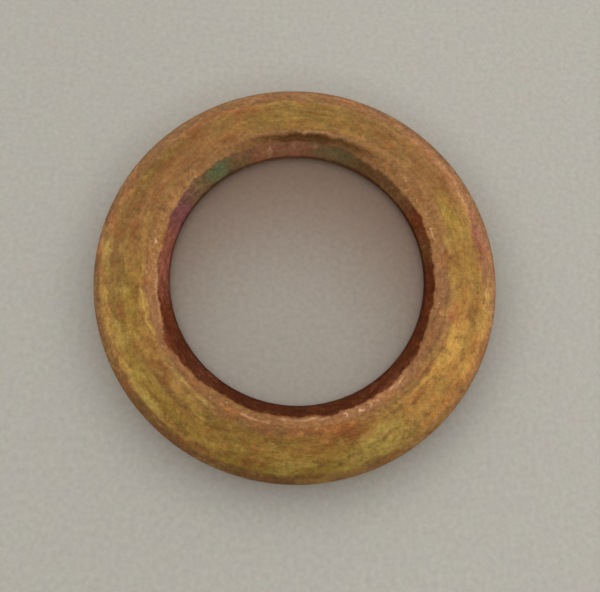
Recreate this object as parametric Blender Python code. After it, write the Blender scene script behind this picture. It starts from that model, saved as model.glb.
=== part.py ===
"""Small-series flat washer for an M12 bolt: one turned steel ring, yellow passivated.

The ring lies on the XY plane with its axis on +Z. Its upper face is the worked one: the bore opens
upwards through a steep cone and a shallower bevel, and the outer edge is chamfered. The lower face is
flat, with both of its edges only broken.
"""

import math

import bmesh
import bpy
from mathutils import Vector

MM = 0.001

# Driving dimensions.
OUTER_DIAMETER = 20.0 * MM
BORE_DIAMETER = 13.0 * MM
THICKNESS = 1.5 * MM

BORE_LAND = 0.25 * MM  # height of the straight stretch of the bore
CONE_WIDTH = 0.55 * MM  # radial, from the bore land to the bevel
BEVEL_WIDTH = 0.40 * MM  # radial, from the cone to the inner shoulder
BEVEL_DEPTH = 0.30 * MM
SHOULDER_WIDTH = 0.40 * MM  # radial, where the upper face rolls off at either edge
SHOULDER_DEPTH = 0.12 * MM
CHAMFER_WIDTH = 0.50 * MM  # radial, round the outer edge
CHAMFER_DEPTH = 0.25 * MM
EDGE_BREAK = 0.20 * MM  # both edges of the lower face
CORNER_RADIUS = 0.10 * MM  # every corner of the section

TURNS = 72  # facets round the ring
CORNER_STEPS = 2
MOST_OF_RIM = 0.8  # the worked edges take no more of the rim than this, and the rest stays flat

# Derived sizes.
OUTER_RADIUS = OUTER_DIAMETER / 2
BORE_RADIUS = BORE_DIAMETER / 2
RIM_WIDTH = OUTER_RADIUS - BORE_RADIUS
WORKED_WIDTH = CONE_WIDTH + BEVEL_WIDTH + CHAMFER_WIDTH + 2 * SHOULDER_WIDTH
EDGE_SHARE = min(1.0, MOST_OF_RIM * RIM_WIDTH / WORKED_WIDTH)


def clear_scene():
    for obj in list(bpy.data.objects):
        bpy.data.objects.remove(obj, do_unlink=True)


def plated_steel():
    material = bpy.data.materials.new("yellow_passivated_steel")
    material.use_nodes = True
    shader = material.node_tree.nodes["Principled BSDF"]
    shader.inputs["Base Color"].default_value = (0.42, 0.25, 0.07, 1.0)
    shader.inputs["Metallic"].default_value = 1.0
    shader.inputs["Roughness"].default_value = 0.42
    material.diffuse_color = (0.42, 0.25, 0.07, 1.0)
    return material


def ring_corners():
    """The section's corners as (radius, height), down the outer side and back up the bore."""
    cone = CONE_WIDTH * EDGE_SHARE
    bevel = BEVEL_WIDTH * EDGE_SHARE
    shoulder = SHOULDER_WIDTH * EDGE_SHARE
    chamfer = CHAMFER_WIDTH * EDGE_SHARE
    shoulder_height = THICKNESS - SHOULDER_DEPTH
    land_top = EDGE_BREAK + BORE_LAND
    return [
        (OUTER_RADIUS - chamfer - shoulder, THICKNESS),
        (OUTER_RADIUS - chamfer, shoulder_height),
        (OUTER_RADIUS, shoulder_height - CHAMFER_DEPTH),
        (OUTER_RADIUS, EDGE_BREAK),
        (OUTER_RADIUS - EDGE_BREAK, 0.0),
        (BORE_RADIUS + EDGE_BREAK, 0.0),
        (BORE_RADIUS, EDGE_BREAK),
        (BORE_RADIUS, land_top),
        (BORE_RADIUS + cone, shoulder_height - BEVEL_DEPTH),
        (BORE_RADIUS + cone + bevel, shoulder_height),
        (BORE_RADIUS + cone + bevel + shoulder, THICKNESS),
    ]


def rounded_corner(before, corner, after):
    """Points along a small arc that replaces one corner, no longer than half of either side."""
    to_before = (before - corner).normalized()
    to_after = (after - corner).normalized()
    half = to_before.angle(to_after) / 2
    shortest = min((before - corner).length, (after - corner).length)
    reach = min(CORNER_RADIUS / math.tan(half), 0.45 * shortest)
    radius = reach * math.tan(half)
    centre = corner + (to_before + to_after).normalized() * (radius / math.sin(half))
    start = (corner + to_before * reach - centre).normalized()
    end = (corner + to_after * reach - centre).normalized()
    turns = [step / CORNER_STEPS for step in range(CORNER_STEPS + 1)]
    return [centre + start.slerp(end, turn) * radius for turn in turns]


def ring_section():
    corners = [Vector((radius, 0.0, height)) for radius, height in ring_corners()]
    points = []
    for index, corner in enumerate(corners):
        after = corners[(index + 1) % len(corners)]
        points.extend(rounded_corner(corners[index - 1], corner, after))
    return points


def turned_ring(name, section, material):
    mesh_builder = bmesh.new()
    verts = [mesh_builder.verts.new(point) for point in section]
    edges = [mesh_builder.edges.new((verts[index - 1], vert)) for index, vert in enumerate(verts)]
    bmesh.ops.spin(
        mesh_builder,
        geom=verts + edges,
        cent=(0.0, 0.0, 0.0),
        axis=(0.0, 0.0, 1.0),
        angle=math.tau,
        steps=TURNS,
        use_merge=True,
    )
    bmesh.ops.recalc_face_normals(mesh_builder, faces=mesh_builder.faces)
    mesh = bpy.data.meshes.new(name)
    mesh_builder.to_mesh(mesh)
    mesh_builder.free()
    mesh.shade_smooth()
    mesh.set_sharp_from_angle(angle=math.radians(35.0))
    mesh.materials.append(material)
    obj = bpy.data.objects.new(name, mesh)
    bpy.context.scene.collection.objects.link(obj)
    return obj


def main():
    clear_scene()
    turned_ring("washer_ring", ring_section(), plated_steel())


main()
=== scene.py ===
import math
import random

import bmesh
import bpy
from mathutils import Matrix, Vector, kdtree, noise


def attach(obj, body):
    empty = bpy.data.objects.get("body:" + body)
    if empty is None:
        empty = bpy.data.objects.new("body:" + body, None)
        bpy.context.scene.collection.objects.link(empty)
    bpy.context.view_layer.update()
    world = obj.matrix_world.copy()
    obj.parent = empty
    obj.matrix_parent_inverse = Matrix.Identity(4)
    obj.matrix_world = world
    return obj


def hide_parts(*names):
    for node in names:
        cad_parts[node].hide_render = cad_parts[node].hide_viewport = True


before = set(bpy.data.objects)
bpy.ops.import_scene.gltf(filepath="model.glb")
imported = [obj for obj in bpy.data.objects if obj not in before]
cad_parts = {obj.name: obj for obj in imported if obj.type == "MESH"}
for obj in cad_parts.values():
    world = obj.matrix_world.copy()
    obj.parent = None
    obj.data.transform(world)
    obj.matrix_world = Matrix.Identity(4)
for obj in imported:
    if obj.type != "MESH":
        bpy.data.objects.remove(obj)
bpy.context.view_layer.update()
print("frame loaded")

scene = bpy.context.scene
scene.view_settings.view_transform = "Standard"
mm = 0.001
micron = 0.000001


def addNode(tree, kind, inputs=None, **settings):
    made = tree.nodes.new("ShaderNode" + kind)
    for name, value in settings.items():
        setattr(made, name, value)
    for name, value in (inputs or {}).items():
        if isinstance(value, bpy.types.NodeSocket):
            tree.links.new(value, made.inputs[name])
        else:
            made.inputs[name].default_value = value
    return made


def calc(tree, operation, *values):
    return addNode(tree, "Math", dict(enumerate(values)), operation=operation).outputs[0]


def smoothRange(tree, value, low, high, toLow=0.0, toHigh=1.0):
    inputs = {"Value": value, "From Min": low, "From Max": high, "To Min": toLow, "To Max": toHigh}
    return addNode(tree, "MapRange", inputs, interpolation_type="SMOOTHSTEP").outputs[0]


def mixColour(tree, factor, under, over, mode="MIX"):
    inputs = {0: factor, 6: under, 7: over}
    return addNode(tree, "Mix", inputs, data_type="RGBA", blend_type=mode).outputs[2]


def colourRamp(tree, value, stops):
    made = addNode(tree, "ValToRGB", {0: value})
    elements = made.color_ramp.elements
    elements[0].position, elements[1].position = stops[0][0], stops[-1][0]
    for position, _ in stops[1:-1]:
        elements.new(position)
    for element, (_, colour) in zip(elements, stops):
        element.color = (*colour[:3], 1)
    return made.outputs[0]


def grey(value):
    return (value, value, value)


def noiseOf(tree, vector, scale, detail, roughness, colour=False):
    inputs = {"Vector": vector, "Scale": scale, "Detail": detail, "Roughness": roughness}
    made = addNode(tree, "TexNoise", inputs, noise_dimensions="3D")
    return made.outputs["Color" if colour else "Fac"]


def placeInMm(tree):
    coordinates = addNode(tree, "TexCoord").outputs["Object"]
    return addNode(tree, "Mapping", {"Vector": coordinates, "Scale": (1000, 1000, 1000)}).outputs[0]


# Sizes of the washer that several parts of the script share, in mm. Directions on it are in
# degrees clockwise from +X, seen from above.
thickness = 1.5
boreRadius = 6.5
coneRadius = 7.05  # where the cone meets the inner bevel
coneHeight = 1.08
landFrom = 7.8  # the flat land of the upper face
landTo = 9.1

washer = {
    "stepsRound": 840,
    "sectors": 30,  # the turn is made in this many equal parts
    "fineSpacing": 0.072,  # mm between points of the section where it shows
    "coarseSpacing": 0.22,  # and on the underside
    # radius, height and rounding of each corner of the section, in mm
    "section": [
        (6.70, 0.00, 0.06),
        (boreRadius, 0.20, 0.06),
        (boreRadius, 0.45, 0.08),
        (coneRadius, coneHeight, 0.09),
        (7.45, 1.38, 0.10),
        (7.85, thickness, 0.12),
        (landTo, thickness, 0.16),
        (9.50, 1.38, 0.16),
        (10.0, 1.13, 0.10),
        (10.0, 0.20, 0.08),
        (9.80, 0.00, 0.06),
    ],
    "cornerSegments": 3,
    "outOfRound": 0.012,  # mm
    "swells": 1.3,  # more of these makes it out of round in more places
    "hollows": 0.012,  # mm, long shallow ones in the upper face
    "hollowsPerMm": (0.45, 1.1),  # the long ones, and shorter ones half as deep
    "ragged": 0.035,  # mm, along the edges of the inner bevel
    "tearsPerMm": 2.6,
    "dents": 260,
    "dentRadius": (7.1, 9.9),  # mm, where they lie
    "dentSize": (0.09, 0.3),  # mm
    "dentDepth": (0.02, 0.07),  # as a share of the size
    "seed": 11,
}

# Small burrs raised on the inner bevel: direction, radius mm, size mm, height mm.
burrs = [
    (64, 7.28, 0.16, 0.045),
    (72, 7.24, 0.12, 0.035),
    (46, 7.18, 0.10, 0.025),
    (54, 7.16, 0.09, 0.025),
    (88, 7.16, 0.14, 0.020),
    (193, 7.18, 0.14, 0.040),
    (222, 7.20, 0.16, 0.045),
    (233, 7.16, 0.10, 0.035),
    (257, 6.95, 0.10, 0.030),
    (268, 6.98, 0.08, 0.025),
    (277, 6.96, 0.09, 0.030),
    (318, 7.42, 0.12, 0.045),
    (342, 7.15, 0.16, 0.035),
]


def drawSection():
    section = bmesh.new()
    corners = []
    for radius, height, _ in washer["section"]:
        corners.append(section.verts.new((radius * mm, 0, height * mm)))
    for here, after in zip(corners, corners[1:] + corners[:1]):
        section.edges.new((here, after))
    for corner, (_, _, rounding) in zip(corners, washer["section"]):
        bmesh.ops.bevel(
            section,
            geom=[corner],
            affect="VERTICES",
            offset=rounding * mm,
            offset_type="OFFSET",
            segments=washer["cornerSegments"],
            profile=0.5,
            material=-1,
        )
    for edge in section.edges[:]:
        underneath = max(point.co.z for point in edge.verts) < 10 * micron
        spacing = washer["coarseSpacing" if underneath else "fineSpacing"] * mm
        cuts = int(edge.calc_length() / spacing)
        if cuts:
            bmesh.ops.subdivide_edges(section, edges=[edge], cuts=cuts)
    return section


def turnSection(ring):
    sectors = washer["sectors"]
    around = {"cent": (0, 0, 0), "axis": (0, 0, 1)}
    bmesh.ops.spin(
        ring,
        geom=ring.verts[:] + ring.edges[:],
        angle=math.tau / sectors,
        steps=washer["stepsRound"] // sectors,
        use_merge=False,
        **around,
    )
    bmesh.ops.spin(
        ring,
        geom=ring.verts[:] + ring.edges[:] + ring.faces[:],
        angle=math.tau,
        steps=sectors,
        use_merge=True,
        use_duplicate=True,
        **around,
    )
    bmesh.ops.remove_doubles(ring, verts=ring.verts[:], dist=micron)
    bmesh.ops.recalc_face_normals(ring, faces=ring.faces[:])


def onWasher(direction, radius, height):
    turn = -math.radians(direction)
    return Vector((math.cos(turn) * radius, math.sin(turn) * radius, height)) * mm


# 1 at no distance, falling smoothly to 0 at the reach.
def hump(distance, reach):
    share = min(1.0, abs(distance) / reach)
    return (1 - share * share) ** 2


def weatherRing(ring):
    seeded = random.Random(washer["seed"])
    offset = Vector((seeded.random(), seeded.random(), seeded.random())) * 50
    middle, halfRim = 8.2, 1.75  # mm; the outer wall and the bore keep their size
    long, short = washer["hollowsPerMm"]
    for point in ring.verts:
        here = point.co / mm
        radius = math.hypot(here.x, here.y)
        outward = Vector((here.x, here.y, 0)) / radius
        wave = noise.noise(outward * washer["swells"] + offset)
        point.co += outward * (wave * washer["outOfRound"] * mm * hump(radius - middle, halfRim))
        upper = here.z > 1.0
        if upper:
            low = noise.noise(here * long + offset) + 0.5 * noise.noise(here * short - offset)
            point.co.z -= abs(low) * washer["hollows"] * mm
        lowerCrest = hump(radius - coneRadius, 0.35) * (here.z > 0.5)
        upperCrest = 0.8 * hump(radius - 7.5, 0.3) * upper
        edge = lowerCrest + upperCrest
        if edge:
            torn = noise.fractal(here * washer["tearsPerMm"] + offset, 0.8, 2.2, 4)
            shift = torn * washer["ragged"] * mm * edge
            point.co += outward * shift
            point.co.z -= abs(shift) * 0.8


# Rough height of the upper side at a radius, all in mm.
def levelAt(radius):
    if landFrom < radius < landTo:
        return thickness
    return 1.2 if radius < landFrom else 1.3


# The same on the cone and the inner bevel, where the burrs are.
def slopeLevel(radius):
    coneSlope, bevelSlope = 1.14, 0.75
    past = radius - coneRadius
    return coneHeight + past * (bevelSlope if past > 0 else coneSlope)


def dentRing(ring):
    seeded = random.Random(washer["seed"] + 1)
    tree = kdtree.KDTree(len(ring.verts))
    for point in ring.verts:
        tree.insert(point.co, point.index)
    tree.balance()

    def press(place, reach, depth):
        for _, index, distance in tree.find_range(place, reach * mm):
            point = ring.verts[index]
            point.co -= point.normal * (depth * mm * hump(distance, reach * mm))

    for _ in range(washer["dents"]):
        radius = seeded.uniform(*washer["dentRadius"])
        size = seeded.uniform(*washer["dentSize"])
        place = onWasher(seeded.uniform(0, 360), radius, levelAt(radius))
        press(place, size, size * seeded.uniform(*washer["dentDepth"]))
    for direction, radius, size, height in burrs:
        press(onWasher(direction, radius, slopeLevel(radius)), size, -height)


def buildRing():
    ring = drawSection()
    turnSection(ring)
    ring.verts.index_update()
    ring.verts.ensure_lookup_table()
    ring.normal_update()
    weatherRing(ring)
    ring.normal_update()
    dentRing(ring)
    mesh = bpy.data.meshes.new("washer_body")
    ring.to_mesh(mesh)
    ring.free()
    mesh.shade_smooth()
    piece = bpy.data.objects.new("washer_body", mesh)
    scene.collection.objects.link(piece)
    return piece


washerBody = buildRing()
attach(washerBody, "root")
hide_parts("washer_ring")
print("washer built,", len(washerBody.data.polygons), "faces")

# The film's colours, from the thick dark film in the bore to bare metal. Some also serve as painted
# shade in the bore and on the far inner bevel, and others as painted highlights and glints on the
# inner bevel.
tints = {
    "oxblood": (0.088, 0.020, 0.005),
    "wine": (0.135, 0.030, 0.010),
    "crimson": (0.26, 0.085, 0.050),
    "plum": (0.23, 0.080, 0.085),
    "verdigris": (0.17, 0.200, 0.090),
    "moss": (0.24, 0.150, 0.065),
    "dusky rose": (0.40, 0.170, 0.085),
    "umber": (0.20, 0.095, 0.036),
    "dark umber": (0.13, 0.050, 0.015),
    "rose copper": (0.31, 0.145, 0.062),
    "brown copper": (0.25, 0.115, 0.044),
    "copper": (0.38, 0.180, 0.062),
    "pale copper": (0.50, 0.245, 0.090),
    "rust": (0.34, 0.120, 0.036),
    "orange": (0.62, 0.230, 0.080),
    "salmon": (0.52, 0.225, 0.100),
    "magenta": (0.34, 0.115, 0.085),
    "amber": (0.62, 0.300, 0.080),
    "bright gold": (0.86, 0.475, 0.112),
    "straw": (0.51, 0.278, 0.070),
    "khaki": (0.40, 0.225, 0.072),
    "olive": (0.38, 0.210, 0.046),
    "lime gold": (0.61, 0.412, 0.100),
    "ochre": (0.43, 0.255, 0.048),
    "drab": (0.34, 0.195, 0.050),
    "tan": (0.33, 0.170, 0.055),
    "hazel": (0.22, 0.107, 0.036),
    "dull brown": (0.25, 0.125, 0.036),
    "pink tan": (0.62, 0.330, 0.170),
    "bare and glint": (0.90, 0.560, 0.350),
}

plating = {
    "seam": 8,  # direction where the colour bands close on themselves
    "wander": (0.05, 0.42),  # how far the bands and stains stray, in turns and in mm
    "metallic": 0.92,
    "roughness": (0.30, 0.54),
    "relief": (0.7, 45 * micron),  # strength and height of the grain
    "rubbed": 7.28,  # radius in mm of the corner that shows bare flecks
    # The radii in mm between which each band takes over from the one inside it.
    "takesOver": [
        ("shoulder", 7.42, 7.62),
        ("innerFace", 7.75, 8.0),
        ("outerFace", 8.3, 8.9),
        ("chamfer", 9.02, 9.3),
        ("rim", 9.45, 9.8),
    ],
    # How far out, past the edge of the hole, the dark tint of the bore reaches, in mm.
    "boreReach": [
        (0, 0.38), (25, 0.42), (38, 0.54), (66, 0.60), (88, 0.50), (130, 0.54), (150, 0.70),
        (162, 0.54), (178, 0.44), (192, 0.46), (205, 0.56), (235, 0.62), (262, 0.56),
        (284, 0.58), (303, 0.46), (345, 0.44),
    ],
    # How strongly the greenish film shows.
    "greenness": [
        (0, 0.7), (40, 0.9), (70, 1.0), (150, 1.0), (190, 0.6), (225, 0.2), (320, 0.25),
    ],
    # What each band of the section is tinted, going round the washer.
    # The bore is darkest on its near side, 15 to 140 degrees: painted shade there, the dark
    # reflection of the shaded floor, over the film's own reds.
    "bore": [
        (15, "oxblood"), (60, "oxblood"), (100, "oxblood"), (140, "oxblood"), (166, "wine"),
        (180, "crimson"), (195, "crimson"), (209, "plum"), (220, "moss"), (240, "moss"),
        (250, "dusky rose"), (272, "dusky rose"), (283, "moss"), (300, "umber"),
        (322, "umber"), (335, "wine"), (348, "dark umber"), (360, "oxblood"),
    ],
    "bevel": [
        (0, "rose copper"), (30, "brown copper"), (60, "rose copper"), (90, "brown copper"),
        (120, "hazel"), (140, "brown copper"), (165, "rose copper"), (195, "copper"),
        (215, "pale copper"), (240, "pale copper"), (265, "copper"), (290, "copper"),
        (315, "pale copper"), (345, "copper"),
    ],
    "shoulder": [
        (0, "straw"), (18, "pale copper"), (40, "copper"), (60, "tan"), (75, "rust"),
        (95, "brown copper"), (120, "tan"), (145, "khaki"), (170, "straw"), (195, "copper"),
        (250, "pale copper"), (270, "straw"), (300, "pale copper"), (340, "pale copper"),
    ],
    "innerFace": [
        (0, "straw"), (15, "amber"), (28, "bright gold"), (45, "amber"), (60, "straw"),
        (76, "rust"), (90, "olive"), (120, "olive"), (136, "straw"), (152, "straw"),
        (168, "ochre"), (190, "copper"), (235, "copper"), (258, "drab"), (285, "drab"),
        (305, "tan"), (326, "copper"), (341, "ochre"), (352, "straw"),
    ],
    "outerFace": [
        (0, "straw"), (15, "straw"), (30, "amber"), (48, "amber"), (62, "lime gold"),
        (80, "ochre"), (105, "olive"), (140, "ochre"), (165, "drab"), (188, "tan"),
        (218, "dull brown"), (245, "tan"), (270, "drab"), (300, "tan"), (330, "copper"),
        (350, "straw"),
    ],
    "chamfer": [
        (0, "rose copper"), (14, "straw"), (32, "amber"), (50, "amber"), (64, "lime gold"),
        (85, "ochre"), (110, "ochre"), (130, "straw"), (140, "lime gold"), (155, "straw"),
        (180, "drab"), (205, "hazel"), (225, "umber"), (245, "umber"), (280, "hazel"),
        (310, "brown copper"), (335, "rose copper"),
    ],
    "rim": [
        (0, "rose copper"), (35, "copper"), (65, "khaki"), (90, "brown copper"), (145, "hazel"),
        (162, "umber"), (195, "umber"), (225, "umber"), (255, "hazel"), (285, "umber"),
        (315, "umber"), (340, "brown copper"),
    ],
    "wall": [
        (0, "straw"), (40, "khaki"), (75, "straw"), (110, "pale copper"), (150, "straw"),
        (195, "khaki"), (240, "straw"), (275, "pale copper"), (315, "khaki"),
    ],
}

# Stains, and patches of painted shade and painted highlights: tint, direction, radius mm, half
# length in degrees, half width mm, strength, and how much of the patch its soft edge takes up.
stainsAndPaintedLight = [
    # A dark crescent of painted shade on the far side of the inner bevel, which faces away from the
    # light.
    ("dark umber", 271, 7.20, 17, 0.22, 0.7, 0.5),
    ("dark umber", 277, 7.33, 36, 0.11, 0.6, 0.6),
    ("dark umber", 292, 7.22, 14, 0.18, 0.5, 0.8),
    # A painted highlight along the far edge of the inner bevel.
    ("pink tan", 275, 7.53, 28, 0.13, 0.9, 1.0),
    ("bright gold", 27, 8.03, 6, 0.26, 0.95, 0.7),
    ("bright gold", 42, 8.02, 14, 0.30, 0.35, 1.0),
    ("orange", 16, 7.85, 7, 0.28, 0.8, 0.8),
    ("amber", 12, 9.30, 3, 0.24, 0.6, 0.6),
    ("amber", 23, 9.38, 3, 0.22, 0.6, 0.6),
    ("bright gold", 32, 9.25, 4, 0.35, 0.5, 0.6),
    ("orange", 43, 9.52, 12, 0.22, 0.5, 1.0),
    ("rust", 77, 7.90, 9, 0.45, 0.45, 1.0),
    ("rust", 86, 7.58, 20, 0.13, 0.6, 0.7),
    # Painted highlights on the near and left sides of the inner bevel, which face the light.
    ("pink tan", 89, 7.15, 18, 0.11, 0.25, 1.0),
    ("pink tan", 107, 7.34, 9, 0.08, 0.5, 1.0),
    ("pink tan", 58, 7.22, 16, 0.12, 0.15, 1.0),
    ("pink tan", 172, 7.06, 20, 0.10, 0.45, 1.0),
    # Pale flecks on burrs: bare metal, with painted glints.
    ("bare and glint", 193, 7.25, 2.2, 0.07, 0.5, 0.8),
    ("bare and glint", 221, 7.22, 2.6, 0.06, 0.5, 0.8),
    ("bare and glint", 233, 7.20, 1.6, 0.06, 0.5, 0.8),
    ("bare and glint", 318, 7.42, 1.6, 0.07, 0.6, 0.8),
    ("bare and glint", 343, 7.14, 3, 0.08, 0.45, 0.8),
    # A painted highlight along the near edge of the inner bevel.
    ("bare and glint", 88, 7.14, 12, 0.05, 0.25, 1.0),
    # More pale flecks on and between burrs: bare metal, with painted glints.
    ("bare and glint", 64.5, 7.30, 2.0, 0.08, 0.55, 0.8),
    ("bare and glint", 72, 7.24, 1.4, 0.07, 0.45, 0.8),
    ("bare and glint", 51, 7.18, 6, 0.04, 0.3, 1.0),
    ("wine", 150, 7.20, 5, 0.16, 0.8, 0.6),
    ("lime gold", 64, 8.60, 11, 0.75, 0.85, 0.9),
    ("lime gold", 60, 9.30, 8, 0.35, 0.8, 0.9),
    ("lime gold", 90, 9.10, 12, 0.20, 0.6, 0.8),
    ("lime gold", 115, 9.12, 5, 0.16, 0.5, 0.8),
    ("dark umber", 119, 8.46, 3, 0.18, 0.55, 1.0),
    ("dull brown", 138, 8.40, 26, 0.30, 0.8, 1.0),
    ("dull brown", 120, 8.10, 9, 0.32, 0.6, 1.0),
    ("lime gold", 166, 7.66, 22, 0.08, 0.8, 0.7),
    ("lime gold", 132, 7.62, 6, 0.10, 0.5, 0.7),
    ("olive", 176, 7.86, 14, 0.22, 0.6, 1.0),
    ("lime gold", 159, 9.05, 6, 0.28, 0.6, 0.8),
    ("rust", 157, 8.20, 8, 0.18, 0.45, 1.0),
    ("lime gold", 142, 9.28, 20, 0.15, 0.7, 0.8),
    ("umber", 142, 9.62, 30, 0.20, 0.7, 0.8),
    ("hazel", 200, 9.55, 26, 0.30, 0.45, 1.0),
    ("hazel", 285, 9.75, 10, 0.20, 0.5, 1.0),
    ("umber", 98, 9.66, 26, 0.22, 0.5, 0.8),
    ("pale copper", 222, 8.35, 4, 0.12, 0.7, 0.7),
    ("pale copper", 201, 8.30, 3.5, 0.10, 0.6, 0.7),
    ("umber", 201, 8.52, 3, 0.12, 0.5, 0.8),
    ("umber", 179, 8.42, 3, 0.12, 0.5, 0.8),
    ("rust", 226, 8.80, 14, 0.40, 0.15, 1.0),
    ("straw", 268, 8.15, 14, 0.08, 0.6, 0.8),
    ("olive", 257, 8.60, 7, 0.12, 0.5, 1.0),
    ("olive", 273, 8.40, 10, 0.12, 0.5, 1.0),
    ("crimson", 134, 6.80, 12, 0.40, 0.2, 1.0),
    ("crimson", 50, 6.95, 14, 0.30, 0.15, 1.0),
    ("verdigris", 232, 6.80, 8, 0.42, 0.95, 0.7),
    ("verdigris", 290, 6.80, 10, 0.35, 0.35, 0.8),
    # Pale flecks on the burrs in the bore: bare metal, with painted glints.
    ("bare and glint", 257, 6.82, 1.6, 0.26, 0.4, 0.8),
    ("bare and glint", 268, 6.86, 1.4, 0.20, 0.25, 0.8),
    ("bare and glint", 278, 6.92, 1.4, 0.16, 0.3, 0.8),
    ("straw", 350, 8.30, 12, 0.55, 0.6, 0.8),
    ("rust", 356, 7.85, 4, 0.30, 0.6, 0.8),
    ("salmon", 328, 9.28, 24, 0.42, 0.5, 1.0),
    ("magenta", 350, 9.26, 13, 0.50, 0.85, 1.0),
]


# A ramp that closes on itself round the washer, of colours or of greys.
def roundRamp(tree, turn, stops):
    seam = plating["seam"]
    placed = sorted((((direction - seam) % 360) / 360, Vector(value)) for direction, value in stops)
    (firstAt, first), (lastAt, last) = placed[0], placed[-1]
    share = (1 - lastAt) / (1 - lastAt + firstAt)
    closing = last.lerp(first, share)
    return colourRamp(tree, turn, [(0.0, closing), *placed, (1.0, closing)])


def bandColour(tree, turn, band):
    return roundRamp(tree, turn, [(direction, tints[name]) for direction, name in plating[band]])


def bandValue(tree, turn, band):
    return roundRamp(tree, turn, [(direction, grey(value)) for direction, value in plating[band]])


# Coordinates stretched along the marks of turning, so that noise on them makes streaks. The
# drop below the upper face keeps a pattern changing down the walls.
def alongTurning(tree, outward, radius, drop, along, across):
    reach = calc(tree, "MULTIPLY_ADD", drop, across, 8 * along)
    around = addNode(tree, "VectorMath", {0: outward, "Scale": reach}, operation="SCALE").outputs[0]
    rings = addNode(tree, "CombineXYZ", {2: calc(tree, "MULTIPLY", radius, across)}).outputs[0]
    return addNode(tree, "VectorMath", {0: around, 1: rings}, operation="ADD").outputs[0]


def addStainOrPaintedLight(tree, chart, colour, patch):
    name, direction, radius, halfLength, halfWidth, strength, softEdge = patch
    direction = (direction - plating["seam"]) % 360
    size = (halfLength, halfWidth, 1)
    inputs = {"Vector": chart, "Location": (direction, radius, 0), "Scale": size}
    local = addNode(tree, "Mapping", inputs, vector_type="TEXTURE").outputs[0]
    spread = addNode(tree, "TexGradient", {"Vector": local}, gradient_type="SPHERICAL")
    mask = smoothRange(tree, spread.outputs["Fac"], 0.0, softEdge, 0.0, strength)
    return mixColour(tree, mask, colour, (*tints[name], 1))


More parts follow.
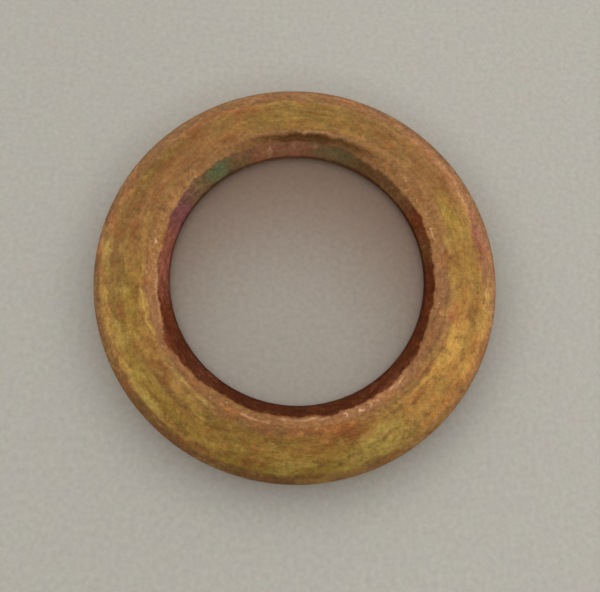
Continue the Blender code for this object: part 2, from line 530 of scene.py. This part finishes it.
def platedSteel():
    material = bpy.data.materials.new("yellow passivated steel")
    material.use_nodes = True
    tree = material.node_tree
    shader = tree.nodes["Principled BSDF"]

    place = placeInMm(tree)
    flat = addNode(tree, "VectorMath", {0: place, 1: (1, 1, 0)}, operation="MULTIPLY").outputs[0]
    radius = addNode(tree, "VectorMath", {0: flat}, operation="LENGTH").outputs["Value"]
    outward = addNode(tree, "VectorMath", {0: flat}, operation="NORMALIZE").outputs[0]
    height = addNode(tree, "SeparateXYZ", {0: place}).outputs["Z"]
    drop = calc(tree, "SUBTRACT", thickness, height)

    # Noise that streaks along the marks of turning.
    def streaky(along, across, detail, roughness):
        stretched = alongTurning(tree, outward, radius, drop, along, across)
        return noiseOf(tree, stretched, 1.0, detail, roughness)

    def tint(mask, name):
        return mixColour(tree, mask, colour, (*tints[name], 1))

    # Direction as 0 to 1 from the seam, clockwise.
    fromSeam = {"Vector": flat, "Angle": math.radians(180 + plating["seam"])}
    turned = addNode(tree, "VectorRotate", fromSeam, rotation_type="Z_AXIS").outputs[0]
    apart = addNode(tree, "SeparateXYZ", {0: turned})
    down = calc(tree, "MULTIPLY", apart.outputs["Y"], -1.0)
    angle = calc(tree, "ARCTAN2", down, apart.outputs["X"])
    turn = calc(tree, "ADD", calc(tree, "DIVIDE", angle, math.tau), 0.5)

    # The edges of bands and stains wander.
    straying = noiseOf(tree, place, 1.3, 4, 0.62, colour=True)
    centred = addNode(tree, "VectorMath", {0: straying, 1: grey(0.5)}, operation="SUBTRACT")
    strays = addNode(tree, "SeparateXYZ", {0: centred.outputs[0]})
    turnWander, radiusWander = plating["wander"]
    wanderedTurn = calc(tree, "MULTIPLY_ADD", strays.outputs["X"], turnWander, turn)
    wanderedRadius = calc(tree, "MULTIPLY_ADD", strays.outputs["Y"], radiusWander, radius)
    degrees = calc(tree, "MULTIPLY", wanderedTurn, 360.0)
    chart = addNode(tree, "CombineXYZ", {0: degrees, 1: wanderedRadius}).outputs[0]

    # The bands from the bore outwards, the stains and painted shade and highlights on them, and the
    # outer wall.
    edge = calc(tree, "ADD", bandValue(tree, turn, "boreReach"), boreRadius)
    past = calc(tree, "SUBTRACT", wanderedRadius, edge)
    leftBore = smoothRange(tree, past, -0.05, 0.06)
    bore = bandColour(tree, wanderedTurn, "bore")
    colour = mixColour(tree, leftBore, bore, bandColour(tree, wanderedTurn, "bevel"))
    for band, low, high in plating["takesOver"]:
        tinted = bandColour(tree, wanderedTurn, band)
        colour = mixColour(tree, smoothRange(tree, wanderedRadius, low, high), colour, tinted)
    for patch in stainsAndPaintedLight:
        colour = addStainOrPaintedLight(tree, chart, colour, patch)
    wanderedHeight = calc(tree, "MULTIPLY_ADD", strays.outputs["Z"], 0.5, height)
    below = smoothRange(tree, wanderedHeight, 1.12, 0.85)
    onWall = calc(tree, "MULTIPLY", below, smoothRange(tree, radius, 9.3, 9.7))
    colour = mixColour(tree, onWall, colour, bandColour(tree, wanderedTurn, "wall"))

    # Mottling where rust-coloured and greenish films alternate, faint inside the bore.
    outside = smoothRange(tree, past, -0.1, 0.7, 0.15, 1.0)
    mottle = streaky(0.75, 1.6, 5, 0.7)
    rusty = calc(tree, "MULTIPLY", smoothRange(tree, mottle, 0.5, 0.67, 0.0, 0.7), outside)
    colour = tint(rusty, "rust")
    clear = smoothRange(tree, past, 0.3, 0.6)
    greenness = bandValue(tree, turn, "greenness")
    green = calc(tree, "MULTIPLY", smoothRange(tree, mottle, 0.49, 0.3, 0.0, 0.85), clear)
    green = calc(tree, "MULTIPLY", green, greenness)
    green = calc(tree, "MULTIPLY", green, smoothRange(tree, radius, 9.35, 9.7, 1.0, 0.3))
    colour = tint(green, "lime gold")

    # Small tarnished and pale spots, fewer where the film is less green.
    spots = streaky(1.1, 1.9, 5, 0.72)
    spotty = calc(tree, "MULTIPLY", outside, calc(tree, "MULTIPLY_ADD", greenness, 0.6, 0.4))
    tarnished = calc(tree, "MULTIPLY", smoothRange(tree, spots, 0.54, 0.62, 0.0, 0.45), spotty)
    colour = tint(tarnished, "umber")
    pale = calc(tree, "MULTIPLY", smoothRange(tree, spots, 0.45, 0.37, 0.0, 0.35), spotty)
    colour = tint(pale, "amber")

    # Upright marks of the tool in the bore.
    upright = streaky(1.8, 0.8, 3, 0.6)
    drawn = colourRamp(tree, upright, [(0.3, grey(0.85)), (0.5, grey(1.0)), (0.7, grey(1.15))])
    inBore = smoothRange(tree, past, 0.0, -0.15)
    colour = mixColour(tree, inBore, colour, drawn, "MULTIPLY")

    # Streaks left by turning, and grain.
    streaks = streaky(0.8, 3.8, 4, 0.6)
    shade = colourRamp(tree, streaks, [(0.25, grey(0.72)), (0.5, grey(1.0)), (0.75, grey(1.28))])
    colour = mixColour(tree, 0.55, colour, shade, "MULTIPLY")
    grain = noiseOf(tree, place, 5.0, 4, 0.7)
    speckled = colourRamp(tree, grain, [(0.3, grey(0.68)), (0.5, grey(1.0)), (0.7, grey(1.32))])
    colour = mixColour(tree, 0.8, colour, speckled, "MULTIPLY")

    # Bare flecks where the corner has rubbed.
    fromCorner = calc(tree, "ABSOLUTE", calc(tree, "SUBTRACT", radius, plating["rubbed"]))
    corner = smoothRange(tree, fromCorner, 0.3, 0.05)
    chipped = smoothRange(tree, noiseOf(tree, place, 3.4, 5, 0.75), 0.60, 0.68, 0.0, 0.4)
    colour = tint(calc(tree, "MULTIPLY", corner, chipped), "bare and glint")
    tree.links.new(colour, shader.inputs["Base Color"])

    patchy = noiseOf(tree, place, 3.1, 4, 0.6)
    roughness = smoothRange(tree, patchy, 0.3, 0.7, *plating["roughness"])
    tree.links.new(roughness, shader.inputs["Roughness"])
    shader.inputs["Metallic"].default_value = plating["metallic"]

    coarse = calc(tree, "MULTIPLY_ADD", mottle, 1.6, streaks)
    relief = calc(tree, "MULTIPLY_ADD", grain, 0.6, coarse)
    strength, distance = plating["relief"]
    bump = addNode(tree, "Bump", {"Height": relief, "Strength": strength, "Distance": distance})
    tree.links.new(bump.outputs[0], shader.inputs["Normal"])
    return material


washerBody.data.materials.append(platedSteel())
print("plating done")

paper = {
    "colour": (0.605, 0.575, 0.505),
    "hole": (0.47, 0.415, 0.35),  # under the hole, where the ring throws its colour on it
    "holeShade": (0.33, 0.225, 0.165),  # and at its far side, in the shade of the ring
    "lightest": (-0.7, -4.5, 0),  # mm, the spot under the hole that catches most light
    "radius": 1.2,  # m
    "sides": 96,
    "roughness": 0.85,
    "relief": (0.3, 20 * micron),  # strength and height of the fibres
}


def layFloor():
    made = bmesh.new()
    sides, radius = paper["sides"], paper["radius"]
    bmesh.ops.create_circle(made, cap_ends=True, segments=sides, radius=radius)
    mesh = bpy.data.meshes.new("paper_floor")
    made.to_mesh(mesh)
    made.free()
    floor = bpy.data.objects.new("paper_floor", mesh)
    scene.collection.objects.link(floor)
    material = bpy.data.materials.new("pale paper")
    material.use_nodes = True
    tree = material.node_tree
    shader = tree.nodes["Principled BSDF"]
    place = placeInMm(tree)
    radius = addNode(tree, "VectorMath", {0: place}, operation="LENGTH").outputs["Value"]

    # Soft shade round the washer, deeper on its left, and the washer's warm cast in its hole.
    contact = smoothRange(tree, radius, 10.0, 12.8, 0.86, 1.0)
    across = addNode(tree, "SeparateXYZ", {0: place}).outputs["X"]
    left = smoothRange(tree, across, 8.0, -12.0, 1.0, 0.95)
    shade = calc(tree, "MULTIPLY", contact, left)
    around = addNode(tree, "CombineXYZ", {0: shade, 1: shade, 2: shade}).outputs[0]
    colour = mixColour(tree, 1.0, (*paper["colour"], 1), around, "MULTIPLY")
    lightest = {0: place, 1: paper["lightest"]}
    distance = addNode(tree, "VectorMath", lightest, operation="DISTANCE").outputs["Value"]
    shading = smoothRange(tree, distance, 2.5, 10.5)
    hole = mixColour(tree, shading, (*paper["hole"], 1), (*paper["holeShade"], 1))
    colour = mixColour(tree, smoothRange(tree, radius, 7.5, 6.6), colour, hole)

    # Faint clouds and flecks in the paper.
    cloud = noiseOf(tree, place, 0.7, 6, 0.75, colour=True)
    clouded = mixColour(tree, 0.75, cloud, (*grey(0.5), 1))
    colour = mixColour(tree, 0.35, colour, clouded, "SOFT_LIGHT")
    grit = noiseOf(tree, place, 3.6, 3, 0.6)
    flecked = colourRamp(tree, grit, [(0.3, grey(0.9)), (0.7, grey(1.1))])
    colour = mixColour(tree, 0.75, colour, flecked, "MULTIPLY")
    tree.links.new(colour, shader.inputs["Base Color"])
    shader.inputs["Roughness"].default_value = paper["roughness"]
    fibres = noiseOf(tree, place, 6.0, 4, 0.7)
    strength, height = paper["relief"]
    bump = addNode(tree, "Bump", {"Height": fibres, "Strength": strength, "Distance": height})
    tree.links.new(bump.outputs[0], shader.inputs["Normal"])
    mesh.materials.append(material)


studio = {
    "strength": 3.4,
    # brightness from the near side (0) to the far side (1)
    "across": [(0.0, 0.15), (0.3, 0.275), (0.5, 0.475), (0.7, 0.55), (1.0, 0.575)],
    # brightness from the horizon (0) to overhead (1)
    "upward": [(0.0, 1.0), (0.22, 1.0), (0.5, 0.6), (0.75, 0.42), (1.0, 0.36)],
    "backdrop": (0.455, 0.434, 0.380),
}


def lightStudio():
    world = bpy.data.worlds.new("studio")
    scene.world = world
    world.use_nodes = True
    tree = world.node_tree
    tree.nodes.clear()
    towards = addNode(tree, "SeparateXYZ", {0: addNode(tree, "TexCoord").outputs["Generated"]})
    across = calc(tree, "MULTIPLY_ADD", towards.outputs["Y"], 0.5, 0.5)
    side = colourRamp(tree, across, [(at, grey(value)) for at, value in studio["across"]])
    upward = towards.outputs["Z"]
    lift = colourRamp(tree, upward, [(at, grey(value)) for at, value in studio["upward"]])
    glow = mixColour(tree, 1.0, side, lift, "MULTIPLY")
    light = addNode(tree, "Background", {"Color": glow, "Strength": studio["strength"]})
    backdrop = addNode(tree, "Background", {"Color": (*studio["backdrop"], 1)})
    seen = addNode(tree, "LightPath").outputs["Is Camera Ray"]
    mixed = addNode(tree, "MixShader", {0: seen, 1: light.outputs[0], 2: backdrop.outputs[0]})
    addNode(tree, "OutputWorld", {"Surface": mixed.outputs[0]})


layFloor()
lightStudio()
print("floor and light done")

view = {
    "location": (-1.404, -6.233, 27.970),  # mm
    "lean": 14.27,  # degrees, about a level axis turned this far from +X:
    "axis": -16.38,
    "lens": 33.27,  # mm, on a sensor 36 mm wide
    "sensor": 36,
    "shift": (-0.0167, -0.0517),
}


def aimCamera():
    data = bpy.data.cameras.new("camera")
    data.lens = view["lens"]
    data.sensor_width = view["sensor"]
    data.shift_x, data.shift_y = view["shift"]
    data.clip_start = 1 * mm
    data.clip_end = 10
    camera = bpy.data.objects.new("camera", data)
    axis = math.radians(view["axis"])
    camera.rotation_mode = "AXIS_ANGLE"
    camera.rotation_axis_angle = (math.radians(view["lean"]), math.cos(axis), math.sin(axis), 0)
    camera.location = Vector(view["location"]) * mm
    scene.collection.objects.link(camera)
    scene.camera = camera


aimCamera()
print("camera placed")
